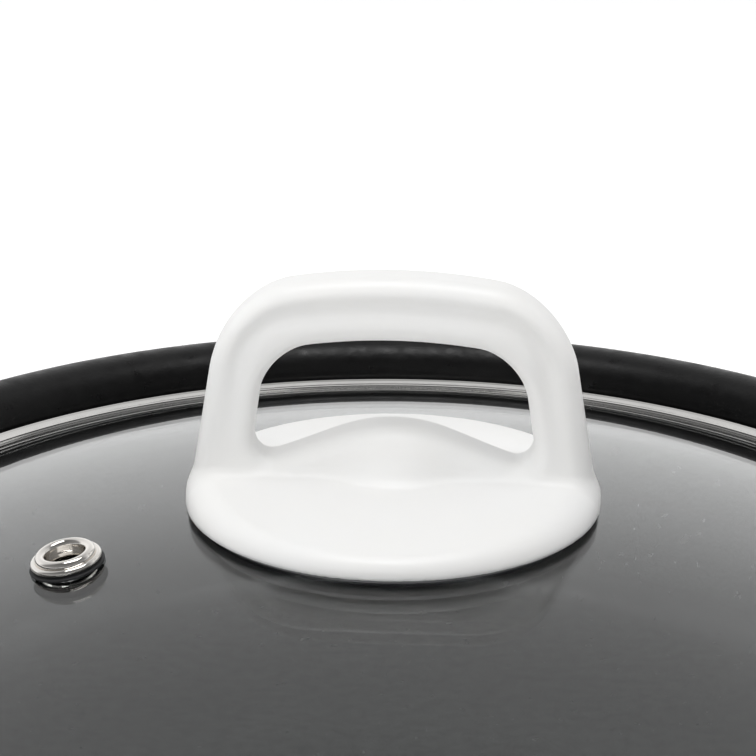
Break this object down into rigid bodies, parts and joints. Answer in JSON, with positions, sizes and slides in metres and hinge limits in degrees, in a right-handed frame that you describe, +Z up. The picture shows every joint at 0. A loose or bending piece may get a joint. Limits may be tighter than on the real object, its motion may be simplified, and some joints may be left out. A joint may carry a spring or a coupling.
{
  "type": "electric griddle",
  "caption": "Round covered electric griddle: cast nonstick pan on four legs, domed glass lid with arched handle and steam vent, plug-in thermostat control.",
  "frame": {"origin": "on the pan's vertical axis, on the table under the feet", "axes": "+Z up, +X along the side handles towards the thermostat control, the front is -Y"},
  "size_m": [0.394, 0.305, 0.1674],
  "materials": {
    "nonstick": "black nonstick coating over cast aluminium, semi-gloss, fine speckle",
    "steel_polished": "polished stainless steel",
    "steel_sheet": "plain sheet steel",
    "element_steel": "heat-tinted steel tube",
    "pin_plate": "nickel plated",
    "ceramic": "unglazed ceramic",
    "white_grip": "soft-touch white, satin",
    "black_shell": "black heat-resistant plastic, fine texture",
    "white_dial": "white, satin gloss",
    "brass": "plain brass",
    "rubber": "black silicone",
    "clear_silicone": "grey silicone",
    "glass": "clear tempered glass",
    "lamp_glass": "neon lamp glass",
    "lens_red": "translucent red"
  },
  "bodies": {
    "base": {"pan": "nonstick", "heating_element": "element_steel", "terminal_sleeves": "ceramic", "terminal_pins": "pin_plate", "socket_guard": "steel_sheet", "guard_screws": "steel_sheet", "side_handle_left": "white_grip", "side_handle_right": "white_grip", "side_handle_screws": "steel_sheet", "feet": "rubber"},
    "control": {"control_base": "black_shell", "control_cover": "black_shell", "control_screws": "steel_sheet", "probe": "steel_polished", "probe_flange": "steel_sheet", "receptacle_contacts": "brass", "thermostat_plate": "steel_sheet", "insulator_stack": "ceramic", "contact_arm": "brass", "indicator_lamp": "lamp_glass", "indicator_lens": "lens_red", "cord_inlet": "rubber"},
    "dial": {"dial_knob": "white_dial", "dial_shaft": "steel_sheet", "shaft_clip": "steel_sheet"},
    "lid": {"lid_glass": "glass", "lid_rim_band": "steel_polished", "vent_eyelet": "steel_polished", "vent_washer": "rubber", "lid_handle": "white_grip", "handle_gasket": "clear_silicone", "handle_insert": "brass", "glass_grommet": "clear_silicone", "inner_seal": "clear_silicone", "cup_washer": "steel_polished", "lid_screw": "steel_sheet"}
  },
  "joints": [
    {"name": "lid_lift", "type": "slide", "parent": "base", "child": "lid", "axis": [0, 0, 1], "range_m": [0, 0.14]},
    {"name": "control_pull", "type": "slide", "parent": "base", "child": "control", "axis": [1, 0, 0], "range_m": [0, 0.13]},
    {"name": "dial_turn", "type": "hinge", "parent": "control", "child": "dial", "pos_m": [0.17, 0, 0.0459], "axis": [0, 0, 1], "range_deg": [-270, 0]}
  ]
}
